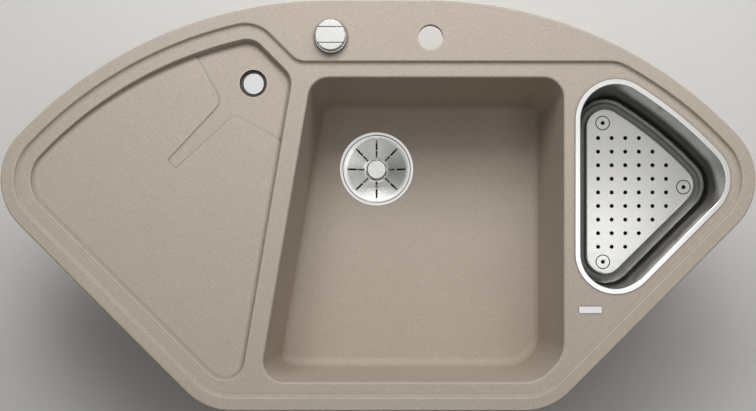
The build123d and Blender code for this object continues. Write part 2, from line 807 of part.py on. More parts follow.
def union_nut(place):
    """Nut over a socket's mouth and the pipe in it, whose Z axis points out along the pipe."""
    nut = rod(place, 0, union_length, union_size)
    for turn in range(union_grips):
        spot = Rot(0, 0, 360 / union_grips * turn) * Pos(union_size / 2, 0, union_length / 2)
        nut += place * spot * Box(2 * union_grip_rise, union_grip, union_length)
    nut -= rod(place, 0, union_lap, socket_size + 2 * thread_gap)
    return nut - rod(place, 0, union_length, socket_bore)


def pipe_unions():
    upper = Pos(overflow_x, overflow_y, overflow_low - socket_depth + union_lap) * Rot(180, 0, 0)
    lower = Pos(waste_x, waste_y, port_level) * Rot(0, 0, to_overflow)
    lower = lower * Pos(port_reach - union_lap, 0, 0) * Rot(0, 90, 0)
    return Compound([union_nut(upper), union_nut(lower)])


# ---- main waste ------------------------------------------------------------------------------
dish_rim = waste_ring / 2 - waste_rim - dish_gap
dish_level = main_floor - waste_seat_depth + cup_sheet + dish_sheet
basket_low = main_floor - cup_depth + seal_thick
body_top = main_under - gasket_thick
body_low = main_floor - body_depth
outlet_low = body_low - body_cone - outlet_length
guide_low = main_floor - guide_foot
post_turn = to_overflow + 30  # direction of the first screw, clear of the overflow's port
spoke_turn = to_overflow + 90


def around(count, radius, start):
    """Places on a circle about the main waste's axis, each turned to face outwards."""
    for turn in range(count):
        yield Pos(waste_x, waste_y) * Rot(0, 0, start + 360 / count * turn) * Pos(radius, 0)


def waste_flange():
    """Pressed steel flange and cup: flat ring, seat for the dish, sloped mouth, cup and valve seat."""
    rim = waste_ring / 2 - waste_rim
    seat = main_floor - waste_seat_depth + cup_sheet
    cup = cup_size / 2 - cup_sheet
    floor = main_floor - cup_depth
    points = [
        (waste_ring / 2, main_floor + waste_rise),
        (rim, main_floor + waste_rise),
        (rim, seat),
        (rim - dish_land - dish_gap, seat),
        (cup, main_floor - cup_mouth),
        (cup, floor),
        (cup_outlet / 2, floor),
    ]
    flange = turned_sheet(waste_x, waste_y, points, cup_sheet, cup_bend)
    for place in around(3, screw_circle / 2, post_turn):
        flange -= rod(place, floor - 2 * cup_sheet, floor, screw_size + 2 * thread_gap)
    return flange


def flange_gasket():
    low = main_floor - waste_seat_depth
    bore = waste_ring - 2 * waste_rim + 2 * (cup_sheet + post_gap)
    return tube(waste_x, waste_y, low, main_floor + waste_rise - cup_sheet, waste_ring, bore)


def strainer_basket():
    """Dish with radial slots round a raised boss, over a cup with windows and a closed foot."""
    bottom = dish_level - dish_fall
    points = [
        (dish_rim, dish_level),
        (dish_rim - dish_land, dish_level),
        (boss_size / 2 + boss_edge, bottom),
        (boss_size / 2, bottom),
        (boss_size / 2, bottom + boss_rise - boss_edge),
        (boss_size / 2 - boss_edge, bottom + boss_rise),
        (0, bottom + boss_rise),
    ]
    basket = turned(waste_x, waste_y, points + [
        (0, bottom + boss_rise - dish_sheet),
        (boss_size / 2 - boss_edge - dish_sheet / 2, bottom + boss_rise - dish_sheet),
        (boss_size / 2 - dish_sheet, bottom + boss_rise - boss_edge - dish_sheet / 2),
        (boss_size / 2 - dish_sheet, bottom - dish_sheet),
        (boss_size / 2 + boss_edge, bottom - dish_sheet),
        (dish_rim - dish_land, dish_level - dish_sheet),
        (dish_rim, dish_level - dish_sheet),
    ])
    slot_length = slot_outer - slot_inner
    for place in around(slot_count, (slot_inner + slot_outer) / 2, 0):
        slot = Pos(0, 0, bottom - 2 * dish_sheet) * SlotOverall(slot_length, slot_width)
        basket -= place * extrude(slot, dish_fall + 2 * dish_sheet)
    skirt_slope = (dish_rim - dish_land - skirt_size / 2) / (dish_rim - dish_land - boss_size / 2 - boss_edge)
    skirt_top = dish_level - dish_sheet - dish_fall * skirt_slope
    skirt = tube(waste_x, waste_y, basket_low, skirt_top, skirt_size, skirt_size - 2 * dish_sheet)
    window = (basket_low + skirt_top) / 2
    for place in around(slot_count, skirt_size / 2, 180 / slot_count):
        skirt -= place * Pos(0, 0, window) * Box(4 * dish_sheet, window_width, window_height)
    skirt += disc(waste_x, waste_y, basket_low, basket_low + dish_sheet, skirt_size)
    skirt += tube(waste_x, waste_y, basket_low - pin_socket_length, basket_low, pin_socket,
                  pin_size + 2 * thread_gap)
    return basket + skirt


def basket_seal():
    return tube(waste_x, waste_y, main_floor - cup_depth, basket_low, seal_outer, seal_bore)


def lift_pin():
    top = basket_low - pin_rest
    return disc(waste_x, waste_y, top - pin_length, top, pin_size)


def waste_gasket():
    return tube(waste_x, waste_y, body_top, main_under, body_flange, waste_hole)


def waste_body():
    """Moulded chamber under the main bowl: overflow port, pin guide, screw posts and outlet."""
    outer = body_size / 2
    inner = outer - body_wall
    cone_low = body_low - body_cone
    body = turned(waste_x, waste_y, [
        (waste_hole / 2, body_top),
        (body_flange / 2, body_top),
        (body_flange / 2, body_top - body_flange_thick),
        (outer, body_top - body_flange_thick),
        (outer, body_low),
        (outlet_thread / 2, cone_low),
        (outlet_thread / 2, outlet_low),
        (outlet_bore / 2, outlet_low),
        (outlet_bore / 2, cone_low),
        (inner, body_low),
        (inner, body_top - body_flange_thick),
        (waste_hole / 2, body_top - body_flange_thick),
    ])
    port = Pos(waste_x, waste_y, port_level) * Rot(0, 0, to_overflow) * Rot(0, 90, 0)
    middle = inner + body_wall / 2
    body += rod(port, middle, port_reach, socket_size)
    body -= rod(port, inner - body_wall, port_reach, pipe_size - 2 * pipe_wall)
    body -= rod(port, port_reach - socket_depth, port_reach, socket_bore)
    hub = disc(waste_x, waste_y, guide_low, guide_low + guide_height, guide_size)
    for place in around(3, middle / 2, spoke_turn):
        hub += place * Pos(0, 0, guide_low + guide_height / 2) * Box(middle, spoke_width, spoke_height)
    body += hub - disc(waste_x, waste_y, guide_low, guide_low + guide_height, pin_size + 2 * running_gap)
    rib_reach = body_flange / 2 - inner
    for place in around(body_ribs, inner + rib_reach / 2, post_turn):
        middle_level = body_top - body_flange_thick / 2 - body_rib_height / 2
        body += place * Pos(0, 0, middle_level) * Box(rib_reach, body_rib, body_rib_height)
    post_top = main_floor - cup_depth - cup_sheet - post_gap
    reach = middle - screw_circle / 2
    web = Pos(reach / 2, 0, (body_low + post_top) / 2) * Box(reach, spoke_width, post_top - body_low)
    for place in around(3, screw_circle / 2, post_turn):
        body += rod(place, body_low, post_top, post_size) + place * web
        body -= rod(place, post_top - screw_length, post_top, screw_size + 2 * thread_gap)
    boss = gland_place()
    body += rod(boss, middle - outer - gland_length / 2, 0, gland_size)
    return body - rod(boss, inner - body_wall - outer - gland_length / 2, 0, gland_bore)


def gland_place():
    """Mouth of the boss for the cable, on the side away from the overflow's port."""
    place = Pos(waste_x, waste_y, guide_low + guide_height / 2) * Rot(0, 0, to_overflow + 180)
    return place * Pos(body_size / 2 + gland_length / 2, 0, 0) * Rot(0, 90, 0)


def waste_cable_gland():
    return gland(gland_place())


def screw(top, length, size, head, head_height):
    """Screw standing on its own axis, whose head lies on the level top."""
    cap = disc(0, 0, top, top + head_height, head)
    cap = fillet(cap.edges().group_by(Axis.Z)[-1], head_height / 4)
    return cap + disc(0, 0, top - length, top, size)


def waste_screws():
    one = screw(main_floor - cup_depth, screw_length, screw_size, screw_head, screw_head_height)
    return Compound([place * one for place in around(3, screw_circle / 2, post_turn)])


# ---- small waste -----------------------------------------------------------------------------
small_top = small_under - gasket_thick
small_low = small_floor - small_body_depth
small_outlet_low = small_low - outlet_length
grate_level = small_floor - small_cup_depth


def small_waste_flange():
    """Pressed flange and cup with a slotted floor."""
    cup = small_cup / 2
    points = [
        (small_ring / 2, small_floor + small_rise),
        (cup + small_mouth, small_floor + small_rise),
        (cup, small_floor + small_rise - small_mouth),
        (cup, grate_level),
        (0, grate_level),
    ]
    flange = turned_sheet(small_waste_x, small_waste_y, points, steel_sheet, cup_bend)
    low = grate_level - 2 * steel_sheet
    slot = extrude(Pos(0, 0, low) * SlotOverall(grate_outer - grate_inner, grate_width), 2 * steel_sheet)
    for turn in range(grate_slots):
        place = Pos(small_waste_x, small_waste_y) * Rot(0, 0, 360 / grate_slots * turn)
        flange -= place * Pos((grate_inner + grate_outer) / 2, 0) * slot
    return flange - disc(small_waste_x, small_waste_y, low, grate_level, screw_size + 2 * thread_gap)


def small_flange_gasket():
    low = small_floor - small_seat_depth
    high = small_floor + small_rise - steel_sheet
    return tube(small_waste_x, small_waste_y, low, high, small_ring, small_hole)


def small_gasket():
    return tube(small_waste_x, small_waste_y, small_top, small_under, small_flange, small_hole)


def small_waste_body():
    """Moulded tail under the small bowl, with a hub for the clamping screw."""
    outer = small_body / 2
    inner = outer - body_wall
    body = turned(small_waste_x, small_waste_y, [
        (inner, small_top),
        (small_flange / 2, small_top),
        (small_flange / 2, small_top - body_flange_thick),
        (outer, small_top - body_flange_thick),
        (outer, small_low),
        (outlet_thread / 2, small_low - body_wall),
        (outlet_thread / 2, small_outlet_low),
        (outlet_bore / 2, small_outlet_low),
        (outlet_bore / 2, small_low),
        (inner, small_low + body_wall),
    ])
    hub_top = grate_level - steel_sheet - post_gap
    hub_low = hub_top - grate_screw_length
    hub = disc(small_waste_x, small_waste_y, hub_low, hub_top, grate_hub)
    middle = Pos(small_waste_x, small_waste_y, (hub_low + hub_top) / 2)
    reach = inner + body_wall / 2
    for turn in range(3):
        rib = Pos(reach / 2, 0, 0) * Box(reach, spoke_width, spoke_height)
        hub += middle * Rot(0, 0, 30 + 120 * turn) * rib
    return body + hub - disc(small_waste_x, small_waste_y, hub_low, hub_top, screw_size + 2 * thread_gap)


def small_waste_screw():
    one = screw(grate_level, grate_screw_length, screw_size, screw_head, screw_head_height)
    return Pos(small_waste_x, small_waste_y) * one


def small_plug():
    """Rubber plug with a skirt that closes on the slotted floor, and a grip."""
    outer = small_cup / 2 - plug_gap
    top = small_floor - small_mouth + plug_thick / 2
    grip = plug_grip / 2
    return turned(small_waste_x, small_waste_y, [
        (outer - plug_skirt, grate_level),
        (outer, grate_level),
        (outer, top),
        (grip / 2, top),
        (grip / 2, top + plug_grip_height / 2),
        (grip, top + plug_grip_height - plug_edge),
        (grip - plug_edge, top + plug_grip_height),
        (0, top + plug_grip_height),
        (0, top - plug_thick),
        (outer - plug_skirt, top - plug_thick),
    ])


# ---- seal, plate and fixing clips ------------------------------------------------------------
def rim_seal():
    """Foam strip in the groove under the rim."""
    outer = sink_outline(seal_inset + thread_gap)
    inner = sink_outline(seal_inset + seal_width - thread_gap)
    return extrude(outer - inner, seal_depth)


def badge_plate():
    plan = RectangleRounded(badge_length, badge_width, badge_round)
    front = flange_plan(0).bounding_box().min.Y
    return extrude(Pos(flange_left + badge_land, front - badge_drop, ledge) * plan, badge_thick)


def clip_places():
    """Places on the outline under the rim, each with its X axis pointing straight out."""
    places = []
    for side in (-1, 1):
        places.append(Pos(side * clip_front_x, -width / 2) * Rot(0, 0, -90))
        high = end_centre + slant * corner_radius
        low = front_centre + slant * corner_radius
        for share in clip_side_shares:
            spot = high + (low - high) * share
            places.append(Pos(side * spot.X, spot.Y) * Rot(0, 0, -90 + side * 45))
        for angle in clip_back_angles:
            x = back_centre.X + back_radius * sin(radians(angle))
            y = back_centre.Y + back_radius * cos(radians(angle))
            places.append(Pos(side * x, y) * Rot(0, 0, 90 - side * angle))
    return places


clip_back = clip_inset + clip_depth
screw_inset = clip_inset + (clip_depth - clip_guide) / 2
claw_top = -worktop - claw_tooth
claw_low = claw_top - claw_thick


def slab(near, far, breadth, low, high):
    """Box from one inset to another, between two levels, centred across a clip."""
    return Pos(-(near + far) / 2, 0, (low + high) / 2) * Box(far - near, breadth, high - low)


def clip_blocks():
    low = deck_under - clip_height
    block = slab(clip_inset, clip_back, clip_width, low, deck_under)
    block += slab(clip_back - clip_guide, clip_back, clip_width, deck_under - clip_drop, low)
    block -= disc(-screw_inset, 0, low, deck_under - clip_screw_spare, clip_screw + 2 * thread_gap)
    return Compound([place * block for place in clip_places()])


def clip_claws():
    """Strips with a turned-up end that bites on the underside of the worktop."""
    claw = slab(claw_inset, clip_back - clip_guide - claw_gap, claw_width, claw_low, claw_top)
    claw += slab(claw_inset, claw_inset + claw_thick, claw_width, claw_top, -worktop)
    claw -= disc(-screw_inset, 0, claw_low, claw_top, clip_screw + 2 * thread_gap)
    return Compound([place * claw for place in clip_places()])


def clip_screws():
    shank = deck_under - 2 * clip_screw_spare - claw_low
    one = Rot(180, 0, 0) * screw(0, shank, clip_screw, clip_screw_head, clip_screw_head_height)
    return Compound([place * Pos(-screw_inset, 0, claw_low) * one for place in clip_places()])


# ---- files -----------------------------------------------------------------------------------
pieces = [
    sink_body,
    rim_seal,
    badge_plate,
    clip_blocks,
    clip_claws,
    clip_screws,
    steel_bowl,
    perforated_plate,
    plate_feet,
    waste_knob,
    knob_stem,
    knob_base,
    knob_washer,
    knob_backnut,
    cable_drum,
    drive_housing,
    drive_cover,
    drive_gland,
    overflow_cap,
    overflow_collar,
    overflow_gasket,
    overflow_body,
    overflow_pipe,
    pipe_unions,
    waste_flange,
    flange_gasket,
    strainer_basket,
    basket_seal,
    lift_pin,
    waste_gasket,
    waste_body,
    waste_cable_gland,
    waste_screws,
    small_waste_flange,
    small_flange_gasket,
    small_gasket,
    small_waste_body,
    small_waste_screw,
    small_plug,
]

os.makedirs("parts", exist_ok=True)
for piece in pieces:
    export_step(piece(), f"parts/{piece.__name__}.step")
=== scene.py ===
import json
import math

import bpy
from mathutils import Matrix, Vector


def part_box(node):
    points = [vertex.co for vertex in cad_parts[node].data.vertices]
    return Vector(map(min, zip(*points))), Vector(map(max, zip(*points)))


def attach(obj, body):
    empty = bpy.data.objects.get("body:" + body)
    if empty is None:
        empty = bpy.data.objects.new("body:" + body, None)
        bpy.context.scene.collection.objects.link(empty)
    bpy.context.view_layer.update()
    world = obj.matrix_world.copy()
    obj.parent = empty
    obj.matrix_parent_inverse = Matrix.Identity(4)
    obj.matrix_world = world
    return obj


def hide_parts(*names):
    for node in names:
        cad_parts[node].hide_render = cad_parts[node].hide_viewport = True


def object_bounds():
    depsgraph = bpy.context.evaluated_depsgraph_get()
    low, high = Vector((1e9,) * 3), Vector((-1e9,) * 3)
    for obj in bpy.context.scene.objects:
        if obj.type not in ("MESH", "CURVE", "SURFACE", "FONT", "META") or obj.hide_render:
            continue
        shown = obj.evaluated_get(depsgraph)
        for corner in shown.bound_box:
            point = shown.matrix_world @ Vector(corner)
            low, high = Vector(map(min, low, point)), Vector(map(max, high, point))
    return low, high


# Corner kitchen sink seen from straight above. Metres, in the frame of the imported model: X to the
# right, Y to the back, Z up, with Z = 0 on the worktop's top.

MM = 0.001
SMOOTH = math.radians(35)  # faces that meet at less than this are shaded as one curve
WELD = 0.002 * MM  # corners of the solids' loose triangles that are nearer than this are one
NOISE_SPAN = {"From Min": 0.3, "From Max": 0.7}  # where nearly all values of a noise lie

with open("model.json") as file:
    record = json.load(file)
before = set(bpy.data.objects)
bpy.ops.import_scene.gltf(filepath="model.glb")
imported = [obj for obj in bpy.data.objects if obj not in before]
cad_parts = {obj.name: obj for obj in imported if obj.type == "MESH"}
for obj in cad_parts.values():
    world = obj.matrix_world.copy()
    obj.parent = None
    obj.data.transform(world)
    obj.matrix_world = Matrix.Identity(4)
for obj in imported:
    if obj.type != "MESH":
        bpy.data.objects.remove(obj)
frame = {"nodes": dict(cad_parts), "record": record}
nodes = frame["nodes"]
cad_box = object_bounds()
body_of = {node: body for body, names in frame["record"]["behaviour"]["bodies"].items() for node in names}
slot_of = {entry["node"]: entry["material_slot"] for entry in frame["record"]["subparts"]}


def middle(node):
    """Middle of a node's box in plan."""
    low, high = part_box(node)
    return (low[0] + high[0]) / 2, (low[1] + high[1]) / 2


def mid_height(node):
    """Middle of a node's box in height."""
    low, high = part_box(node)
    return (low[2] + high[2]) / 2


# ---- materials -------------------------------------------------------------------------------
def srgb(code):
    """Linear colour of an sRGB hex code."""
    parts = [int(code[place:place + 2], 16) / 255 for place in (1, 3, 5)]
    linear = [part / 12.92 if part <= 0.04045 else ((part + 0.055) / 1.055) ** 2.4 for part in parts]
    return (*linear, 1.0)


def add(material, kind, inputs=None, **settings):
    """Adds a node: settings are its own, and inputs give a socket a value or another node's output."""
    node = material.node_tree.nodes.new(kind)
    for name, value in settings.items():
        setattr(node, name, value)
    for name, value in (inputs or {}).items():
        socket = node.inputs[name]
        if isinstance(value, bpy.types.NodeSocket):
            material.node_tree.links.new(value, socket)
        else:
            socket.default_value = value
    return node


def blank(name):
    """New material without any nodes."""
    material = bpy.data.materials.new(name)
    material.use_nodes = True
    material.node_tree.nodes.clear()
    return material


def granite_composite():
    """Quartz grit cast in resin against a fine matt mould: faint pale and dark grains, hardly any shine."""
    grit = 1.5 * MM  # really about 0.4 mm, drawn coarser so that it shows
    pore = 0.9 * MM  # of the mould's skin
    pore_depth = 0.1 * MM
    cloud_width = 60 * MM
    corner = 6 * MM  # how far painted shade reaches out of an inner corner
    edge = 2.5 * MM  # how far a crest's painted highlight reaches

    material = blank("granite composite")
    place = add(material, "ShaderNodeTexCoord").outputs["Object"]
    grains = add(material, "ShaderNodeTexVoronoi",
                 {"Vector": place, "Scale": 1 / grit, "Randomness": 1.0})
    pick = add(material, "ShaderNodeSeparateColor", {"Color": grains.outputs["Color"]})
    grain_colour = add(material, "ShaderNodeValToRGB", {"Fac": pick.outputs["Red"]})
    ramp = grain_colour.color_ramp
    ramp.elements[0].color = srgb("#a99d8f")
    ramp.elements[1].color = srgb("#c3b8ab")
    for share, code in ((0.08, "#b2a698"), (0.5, "#b5a99c"), (0.92, "#b8ac9f")):
        ramp.elements.new(share).color = srgb(code)
    cloud = add(material, "ShaderNodeTexNoise",
                {"Vector": place, "Scale": 1 / cloud_width, "Detail": 3.0})
    shade = add(material, "ShaderNodeMapRange",
                {"Value": cloud.outputs["Fac"], **NOISE_SPAN, "To Min": 0.99, "To Max": 1.01})
    # painted shade in sharp inner corners
    nook = add(material, "ShaderNodeAmbientOcclusion", {"Distance": corner}, samples=8)
    painted_shade = add(material, "ShaderNodeMapRange", {
        "Value": nook.outputs["AO"], "From Min": 0.5, "From Max": 0.98, "To Min": 0.05, "To Max": 1.0,
    })
    # painted highlight: crests are painted paler than the flats
    crest = add(material, "ShaderNodeAmbientOcclusion", {"Distance": edge}, samples=8, inside=True)
    painted_crest_highlight = add(material, "ShaderNodeMapRange", {
        "Value": crest.outputs["AO"], "From Min": 0.55, "From Max": 0.95, "To Min": 1.3, "To Max": 1.0,
    })
    # painted highlight on the crests times painted shade in the corners
    painted_light = add(material, "ShaderNodeMath",
               {0: painted_crest_highlight.outputs["Result"], 1: painted_shade.outputs["Result"]}, operation="MULTIPLY")
    tone = add(material, "ShaderNodeMath",
               {0: shade.outputs["Result"], 1: painted_light.outputs["Value"]}, operation="MULTIPLY")
    colour = add(material, "ShaderNodeVectorMath",
                 {0: grain_colour.outputs["Color"], "Scale": tone.outputs["Value"]}, operation="SCALE")
    skin = add(material, "ShaderNodeTexNoise", {"Vector": place, "Scale": 1 / pore, "Detail": 2.0})
    bump = add(material, "ShaderNodeBump",
               {"Height": skin.outputs["Fac"], "Strength": 0.12, "Distance": pore_depth})
    shader = add(material, "ShaderNodeBsdfPrincipled", {
        "Base Color": colour.outputs["Vector"],
        "Roughness": 0.55,
        "IOR": 1.5,
        "Specular IOR Level": 0.4,
        "Normal": bump.outputs["Normal"],
    })
    add(material, "ShaderNodeOutputMaterial", {"Surface": shader.outputs["BSDF"]})
    return material


def metal(name, colour, roughness, scratch, grain, depth, along=None, axis=None, painted_shade=False):
    """Bare metal with a fine grain: scratch is the grain's width, depth is how deep it lies, and grain is
    the share by which it varies the roughness. The grain runs one way where along stretches it, and
    in rings round an upright axis where the metal was spun. Where asked for, shade is painted in:
    the metal is painted darker where it is hemmed in."""
    hemmed_in = 20 * MM  # how near another surface must be for the painted shade to darken the metal

    material = blank(name)
    place = add(material, "ShaderNodeTexCoord").outputs["Object"]
    grain_way = {}
    if axis:
        arm = add(material, "ShaderNodeVectorMath", {0: place, 1: (*axis, 0.0)}, operation="SUBTRACT")
        flat = add(material, "ShaderNodeVectorMath", {0: arm.outputs["Vector"], 1: (1.0, 1.0, 0.0)},
                   operation="MULTIPLY")
        ring = add(material, "ShaderNodeVectorMath", {0: flat.outputs["Vector"], 1: (0.0, 0.0, 1.0)},
                   operation="CROSS_PRODUCT")
        grain_way = {"Anisotropic": 0.6, "Tangent": ring.outputs["Vector"]}
        reach = add(material, "ShaderNodeVectorMath", {0: flat.outputs["Vector"]}, operation="LENGTH")
        place = add(material, "ShaderNodeCombineXYZ", {"X": reach.outputs["Value"]}).outputs["Vector"]
    laid = add(material, "ShaderNodeMapping", {"Vector": place, "Scale": along or (1.0, 1.0, 1.0)})
    lines = add(material, "ShaderNodeTexNoise",
                {"Vector": laid.outputs["Vector"], "Scale": 1 / scratch, "Detail": 3.0})
    gloss = add(material, "ShaderNodeMapRange", {
        "Value": lines.outputs["Fac"], **NOISE_SPAN,
        "To Min": roughness * (1 - grain), "To Max": roughness * (1 + grain),
    })
    bump = add(material, "ShaderNodeBump",
               {"Height": lines.outputs["Fac"], "Strength": 0.3, "Distance": depth})
    tint = srgb(colour)
    if painted_shade:
        # painted shade: the metal is darkened where other surfaces are near
        nook = add(material, "ShaderNodeAmbientOcclusion", {"Distance": hemmed_in}, samples=8)
        painted_shade_factor = add(material, "ShaderNodeMapRange", {
            "Value": nook.outputs["AO"],
            "From Min": 0.35, "From Max": 0.8, "To Min": 0.02, "To Max": 1.0,
        })
        tint = add(material, "ShaderNodeVectorMath", {0: tint[:3], "Scale": painted_shade_factor.outputs["Result"]},
                   operation="SCALE").outputs["Vector"]
    shader = add(material, "ShaderNodeBsdfPrincipled", {
        "Base Color": tint,
        "Metallic": 1.0,
        "Roughness": gloss.outputs["Result"],
        "Normal": bump.outputs["Normal"],
        **grain_way,
    })
    add(material, "ShaderNodeOutputMaterial", {"Surface": shader.outputs["BSDF"]})
    return material


def moulded(name, colour, roughness, ior, pore, uneven=0.06):
    """Moulded plastic or rubber: one colour that varies by the share uneven, and a fine skin whose pores
    are as wide as pore and a tenth as deep."""
    cloud_width = 25 * MM

    material = blank(name)
    place = add(material, "ShaderNodeTexCoord").outputs["Object"]
    cloud = add(material, "ShaderNodeTexNoise",
                {"Vector": place, "Scale": 1 / cloud_width, "Detail": 2.0})
    shade = add(material, "ShaderNodeMapRange",
                {"Value": cloud.outputs["Fac"], **NOISE_SPAN, "To Min": 1 - uneven, "To Max": 1 + uneven})
    tint = add(material, "ShaderNodeVectorMath",
               {0: srgb(colour)[:3], "Scale": shade.outputs["Result"]}, operation="SCALE")
    skin = add(material, "ShaderNodeTexNoise", {"Vector": place, "Scale": 1 / pore, "Detail": 1.0})
    bump = add(material, "ShaderNodeBump",
               {"Height": skin.outputs["Fac"], "Strength": 0.2, "Distance": 0.1 * pore})
    shader = add(material, "ShaderNodeBsdfPrincipled", {
        "Base Color": tint.outputs["Vector"],
        "Roughness": roughness,
        "IOR": ior,
        "Normal": bump.outputs["Normal"],
    })
    add(material, "ShaderNodeOutputMaterial", {"Surface": shader.outputs["BSDF"]})
    return material


# the finish of each material slot, and what it gives the eye
finishes = {
    "composite": granite_composite(),
    # ground with a fine belt along X: soft streaks, hardly seen
    "steel_satin": metal("satin ground stainless steel", "#aeadab", 0.25, 0.7 * MM, 0.06, 0.002 * MM,
                         (0.03, 1.0, 1.0)),
    # drawn and brightened: soft reflections, faintly uneven
    "steel_polished": metal("brightened stainless steel", "#edecea", 0.18, 12 * MM, 0.2, 0.01 * MM),
    # blasted before it was plated: bright and silky, with no streaks
    "knob_chrome": metal("satin chrome plate", "#d4d4d2", 0.24, 1.0 * MM, 0.1, 0.002 * MM),
    "cap_metal": metal("satin chrome cap", "#d8d9d9", 0.27, 1.0 * MM, 0.1, 0.002 * MM),
    # moulded: nearly black, with a soft shine
    "black_plastic": moulded("black ABS", "#1d1915", 0.5, 1.5, 0.8 * MM),
    # moulded: off-white and a little waxy
    "white_plastic": moulded("white polypropylene", "#dcdcd8", 0.4, 1.49, 1.5 * MM),
    # its glass fibres leave the skin dull
    "grey_plastic": moulded("glass-filled nylon", "#6b6d6f", 0.5, 1.53, 1.0 * MM),
    # black, with hardly any shine
    "rubber": moulded("moulded rubber", "#161616", 0.7, 1.52, 1.2 * MM),
    # cut from a sheet: quite dull, with its cut cells showing
    "foam": moulded("closed-cell foam", "#4b4b4b", 0.9, 1.45, 1.6 * MM),
    # brushed along X: pale, with faint streaks
    "badge_silver": metal("satin anodised aluminium", "#dcdcdb", 0.35, 0.7 * MM, 0.1, 0.002 * MM,
                          (0.05, 1.0, 1.0)),
    # plated in a barrel: bright, blotchy and a little blue
    "zinc": metal("bright zinc plate", "#b9bbbd", 0.3, 2.0 * MM, 0.3, 0.02 * MM),
    # machined from bar and left bare: a warm shine with tool marks
    "brass": metal("machined brass", "#c8a868", 0.28, 1.5 * MM, 0.25, 0.02 * MM),
}
# finishes that single nodes have instead of their slot's
own_finish = {
    # spun from sheet: rings that draw each highlight out into a wedge
    "strainer_basket": metal("spun stainless steel", "#dad9d7", 0.28, 0.9 * MM, 0.12, 0.003 * MM,
                             axis=middle("waste_flange")),
    # turned: pale and even
    "waste_flange": metal("turned stainless steel", "#dddcda", 0.3, 3 * MM, 0.1, 0.002 * MM),
    # drawn and brightened, with shade painted dark low down inside
    "steel_bowl": metal("brightened stainless bowl", "#edecea", 0.18, 12 * MM, 0.2, 0.01 * MM,
                        painted_shade=True),
    # moulded: dark brown and dull
    "overflow_collar": moulded("dark brown nylon", "#51493f", 0.6, 1.53, 0.8 * MM),
}
# ground flat: a soft, even white
satin_flange = metal("satin stainless flange", "#e2e1df", 0.3, 3 * MM, 0.08, 0.002 * MM)
# drawn steel with shade painted in: dark inside the waste and under the plate, and dull on the bowl's
# floor, where it is painted darker for the shade under and round the plate
painted_shade_steel = metal("drawn steel with painted shade", "#242322", 0.45, 6 * MM, 0.2, 0.01 * MM)
dull_painted_shade_steel = metal("dull drawn steel with painted shade", "#73716e", 0.4, 6 * MM, 0.1, 0.01 * MM, painted_shade=True)
# chrome with shade painted in: grey, with hardly any shine
groove_painted_shade_chrome = metal("chrome groove with painted shade", "#4c4e4e", 0.5, 1.0 * MM, 0.1, 0.002 * MM)


# ---- steps that a maker repeats --------------------------------------------------------------
def deselect():
    bpy.ops.object.select_all(action="DESELECT")


def only(piece):
    """Makes one object the selected and active one."""
    deselect()
    piece.select_set(True)
    bpy.context.view_layer.objects.active = piece


def edit(*steps):
    """Runs steps in edit mode on all of the active mesh."""
    bpy.ops.object.mode_set(mode="EDIT")
    bpy.ops.mesh.select_all(action="SELECT")
    for step in steps:
        step()
    bpy.ops.object.mode_set(mode="OBJECT")


def modify(piece, kind, **settings):
    """Adds a modifier to the active object and applies it."""
    modifier = piece.modifiers.new(kind.lower(), kind)
    for name, value in settings.items():
        setattr(modifier, name, value)
    bpy.ops.object.modifier_apply(modifier=modifier.name)


def joined(pieces):
    """Makes one object of several."""
    deselect()
    for piece in pieces:
        piece.select_set(True)
    bpy.context.view_layer.objects.active = pieces[0]
    bpy.ops.object.join()
    return pieces[0]


def settle(piece, name, node, place=(0, 0, 0), turn=(0, 0, 0), slot=None):
    """Puts a new piece in its place, with the place in its mesh. It rides with a node, and has that
    node's slot and finish unless another slot is named."""
    slot = slot or slot_of[node]
    only(piece)
    piece.name = name
    piece.rotation_euler = turn
    piece.location = place
    bpy.ops.object.transform_apply(location=True, rotation=True, scale=True)
    edit(lambda: bpy.ops.mesh.normals_make_consistent(inside=False))
    bpy.ops.object.shade_smooth_by_angle(angle=SMOOTH)
    piece.data.materials.clear()
    piece.data.materials.append(finishes[slot])
    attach(piece, body_of[node])


# ---- smooth shells of the CAD nodes ----------------------------------------------------------
def smooth_shell(node):
    """Copy of a CAD node with its triangles merged and its curved faces shaded smooth."""
    only(nodes[node])
    bpy.ops.object.duplicate()
    shell = bpy.context.active_object
    shell.name = node + "_shell"
    # the copy is a new piece, so it loses what marks a CAD node and what carries it
    for key in list(shell.keys()):
        del shell[key]
    shell.parent = None
    edit(lambda: bpy.ops.mesh.remove_doubles(threshold=WELD))
    bpy.ops.mesh.customdata_custom_splitnormals_clear()
    bpy.ops.object.shade_smooth_by_angle(angle=SMOOTH)
    modify(shell, "WEIGHTED_NORMAL", keep_sharp=True)
    shell.data.materials.clear()
    shell.data.materials.append(own_finish.get(node, finishes[slot_of[node]]))
    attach(shell, body_of[node])
    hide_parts(node)
    return shell


shells = {node: smooth_shell(node) for node in nodes}


def refinish(node, finish, chosen):
    """Gives the faces of a shell that chosen(centre, normal) picks a finish of their own."""
    shell = shells[node]
    shell.data.materials.append(finish)
    for face in shell.data.polygons:
        if chosen(face.center, face.normal):
            face.material_index = len(shell.data.materials) - 1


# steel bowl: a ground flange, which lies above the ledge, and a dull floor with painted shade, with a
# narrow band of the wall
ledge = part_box("badge_plate")[0][2]
bowl_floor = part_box("plate_feet")[0][2]
floor_band = 2 * MM
refinish("steel_bowl", satin_flange, lambda centre, normal: centre.z > ledge and normal.z > 0.9)
refinish("steel_bowl", dull_painted_shade_steel, lambda centre, normal: centre.z < bowl_floor + floor_band)

# perforated plate: shade painted dark in its holes and below
plate_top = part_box("perforated_plate")[1][2]
plate_sheet = 1 * MM
plate_under = plate_top - plate_sheet


def in_hole_or_below(centre, normal):
    upright = abs(normal.z) < 0.1
    return upright and centre.z > plate_under - plate_sheet / 2 or normal.z < -0.5


